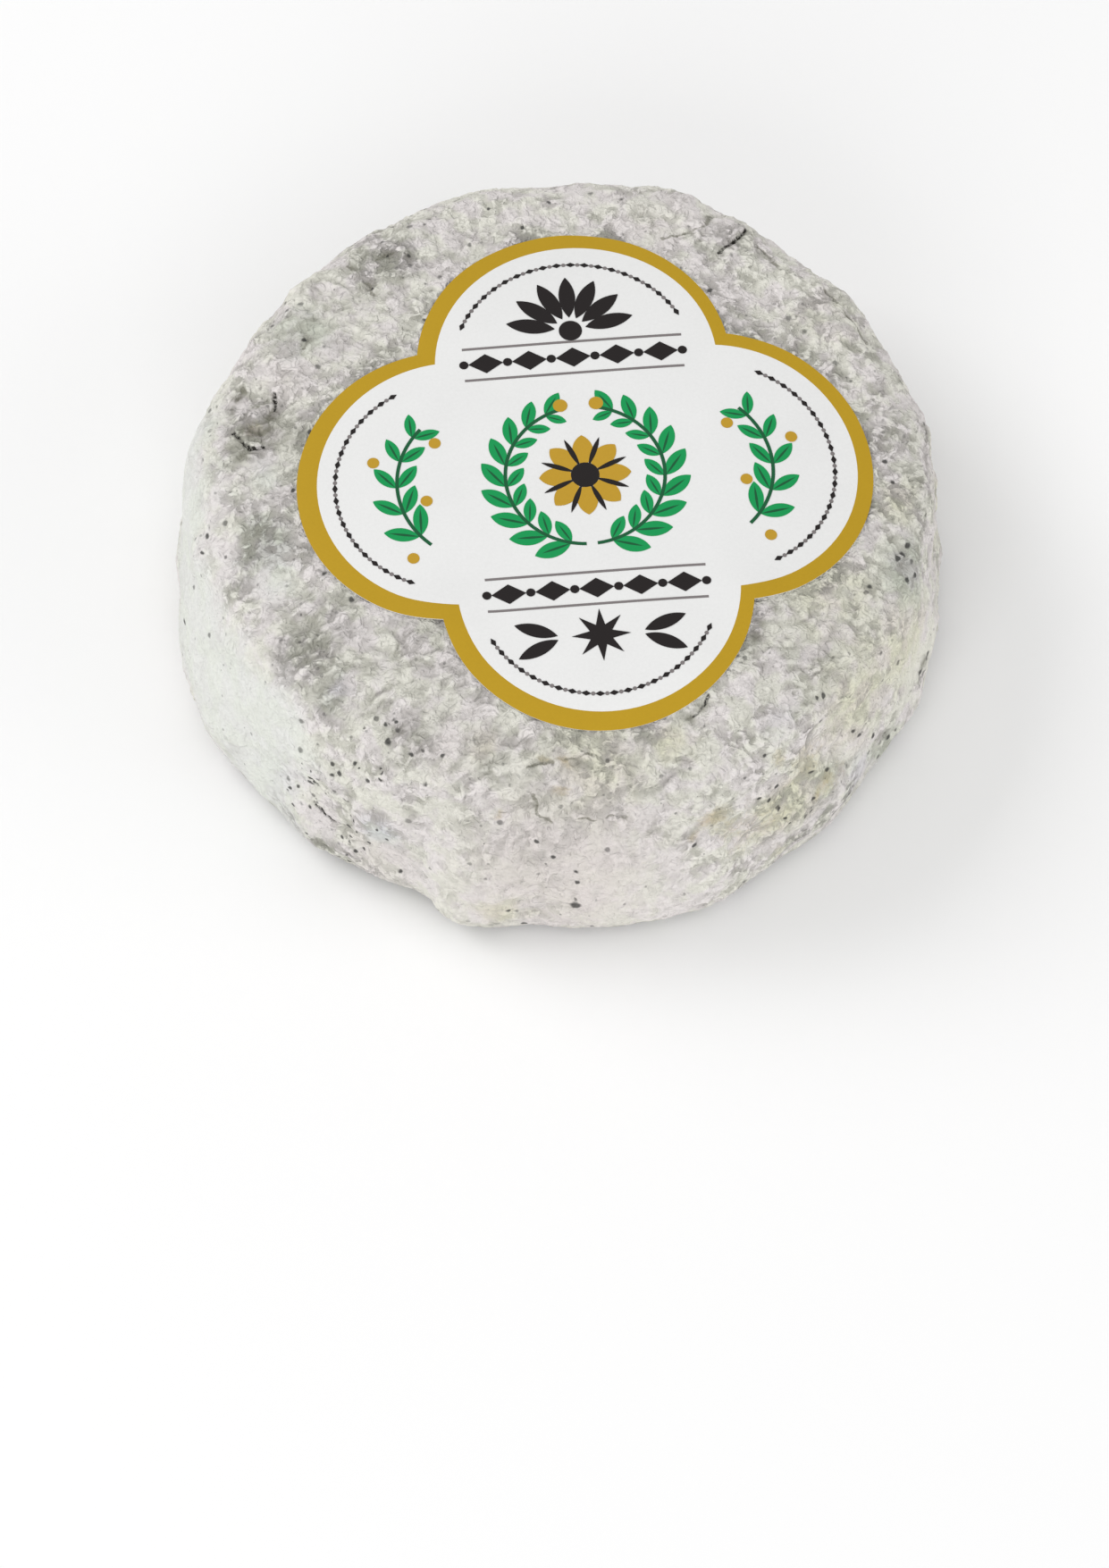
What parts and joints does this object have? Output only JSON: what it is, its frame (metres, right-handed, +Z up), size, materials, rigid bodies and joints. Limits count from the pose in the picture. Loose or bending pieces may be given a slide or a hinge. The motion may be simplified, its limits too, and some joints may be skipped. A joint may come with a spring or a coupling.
{
  "type": "ripened goat cheese round",
  "caption": "Low round of ripened goat cheese with a wrinkled grey-white mould rind, a flat base and a thin paper label of rounded lobes lying on its top.",
  "frame": {"origin": "on the surface the cheese stands on, under the middle of its bounding box", "axes": "+Z up through the cheese, -Y towards its front as seen in the picture, +X to the right"},
  "size_m": [0.0862, 0.0876, 0.0285],
  "materials": {
    "rind": "soft, dry mould rind, matt, grey-white with darker grey patches",
    "paper": "smooth white label paper with a printed gold border"
  },
  "bodies": {
    "root": {"cheese": "rind", "label": "paper"}
  },
  "joints": []
}
